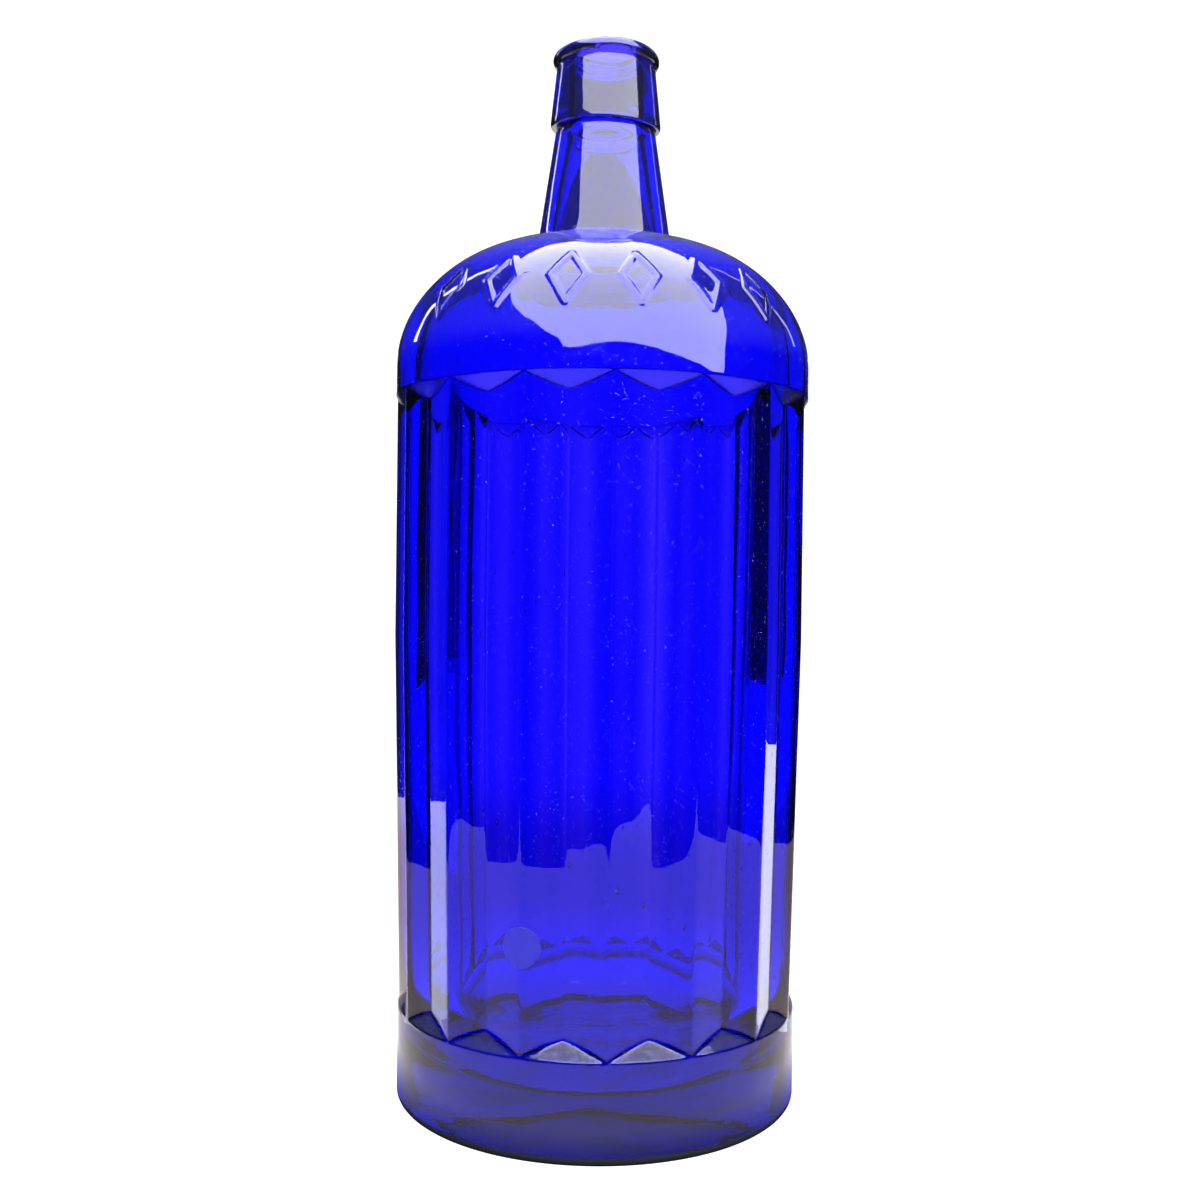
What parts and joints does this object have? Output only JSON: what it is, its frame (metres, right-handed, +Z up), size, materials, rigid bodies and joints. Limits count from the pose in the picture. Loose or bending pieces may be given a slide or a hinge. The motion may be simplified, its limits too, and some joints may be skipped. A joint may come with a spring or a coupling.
{
  "type": "glass medicine bottle",
  "caption": "Tall round blue glass chemist's bottle with fluted sides, plain bands at foot and shoulder, domed top, tapering neck, applied lip and an open mouth.",
  "frame": {"origin": "centre of the flat ring that the bottle stands on", "axes": "+Z up along the bottle's axis, -Y towards the front of the shoulder, where the raised lozenges are, +X to the right of someone who looks at that front"},
  "size_m": [0.127, 0.127, 0.3208],
  "materials": {
    "body_glass": "gloss",
    "lip_glass": "gloss",
    "dot_film": "clear film with a soft sheen"
  },
  "bodies": {
    "root": {"glass_body": "body_glass", "applied_lip": "lip_glass", "film_dot": "dot_film"}
  },
  "joints": []
}
